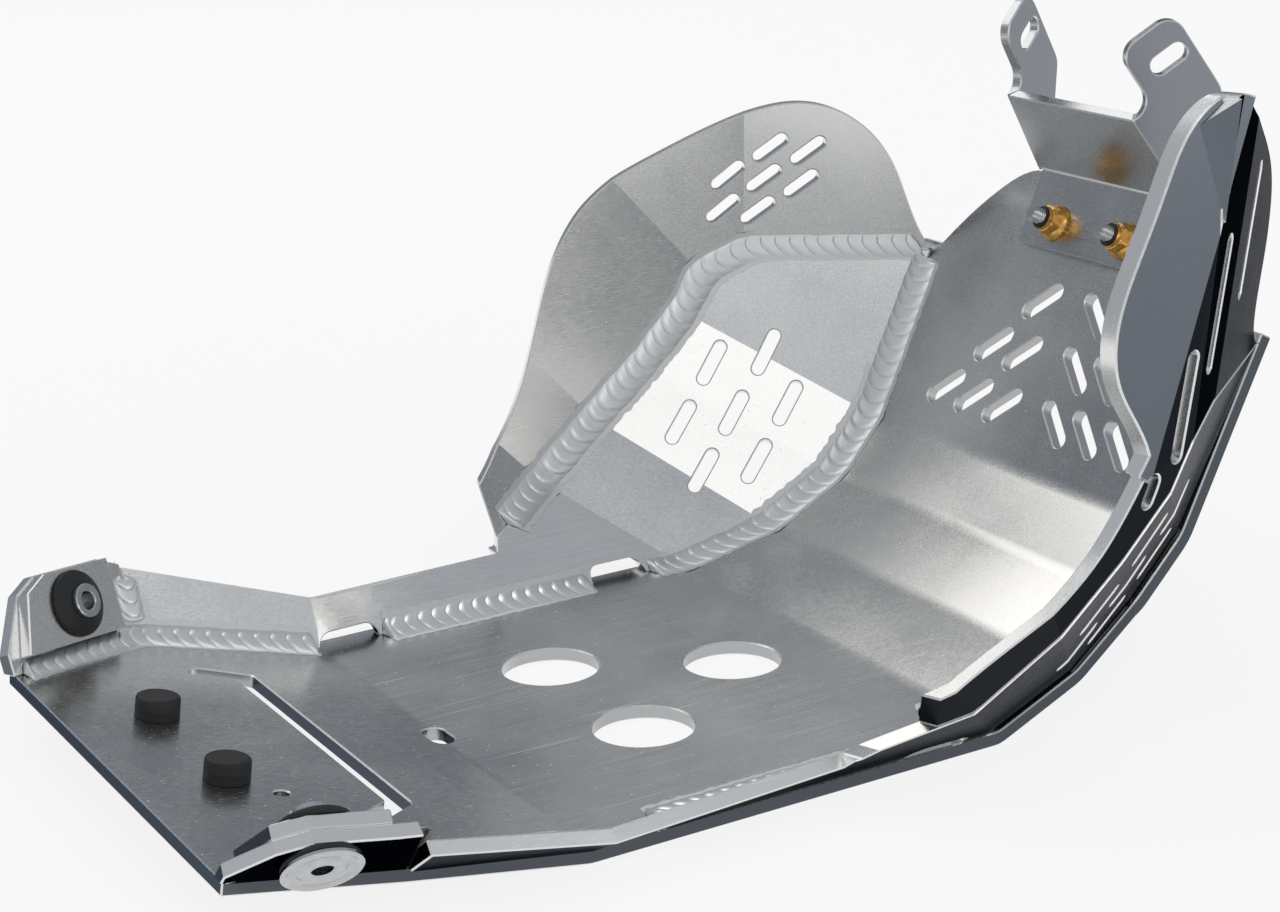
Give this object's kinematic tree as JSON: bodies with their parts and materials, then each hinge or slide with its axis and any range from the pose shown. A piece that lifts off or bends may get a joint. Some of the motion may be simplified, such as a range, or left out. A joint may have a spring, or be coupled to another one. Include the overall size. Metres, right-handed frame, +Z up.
{
  "type": "motorcycle skid plate",
  "caption": "Folded and welded aluminium skid plate with side guards, a raised exhaust pipe guard, rear rubber bushes and a slotted front bracket.",
  "frame": {"origin": "underside of the flat floor, at the centre of the three drain holes", "axes": "+X forward to the front panel, +Y left to the exhaust guard, +Z up to the engine"},
  "size_m": [0.4186, 0.3108, 0.2207],
  "materials": {
    "mill_aluminium": "brushed mill sheet",
    "weld_aluminium": "rippled bright weld bead",
    "black_rubber": "matte moulded",
    "zinc_steel": "bright zinc plate",
    "brass_plate": "yellow plated, satin"
  },
  "bodies": {
    "root": {"base_plate": "mill_aluminium", "exhaust_guard": "mill_aluminium", "right_guard": "mill_aluminium", "top_bracket": "mill_aluminium", "left_cheek": "mill_aluminium", "right_cheek": "mill_aluminium", "left_ear": "mill_aluminium", "right_ear": "mill_aluminium", "left_ear_doubler": "mill_aluminium", "right_ear_doubler": "mill_aluminium", "left_grommet": "black_rubber", "right_grommet": "black_rubber", "left_sleeve": "zinc_steel", "right_sleeve": "zinc_steel", "left_bumper": "black_rubber", "right_bumper": "black_rubber", "left_bumper_stud": "zinc_steel", "right_bumper_stud": "zinc_steel", "left_bolt": "zinc_steel", "right_bolt": "zinc_steel", "left_nut": "brass_plate", "right_nut": "brass_plate", "left_tail_weld": "weld_aluminium", "right_tail_weld": "weld_aluminium", "left_flange_weld": "weld_aluminium", "right_flange_weld": "weld_aluminium", "left_seam_weld": "weld_aluminium", "right_seam_weld": "weld_aluminium", "left_guard_weld": "weld_aluminium", "right_guard_weld": "weld_aluminium"}
  },
  "joints": []
}
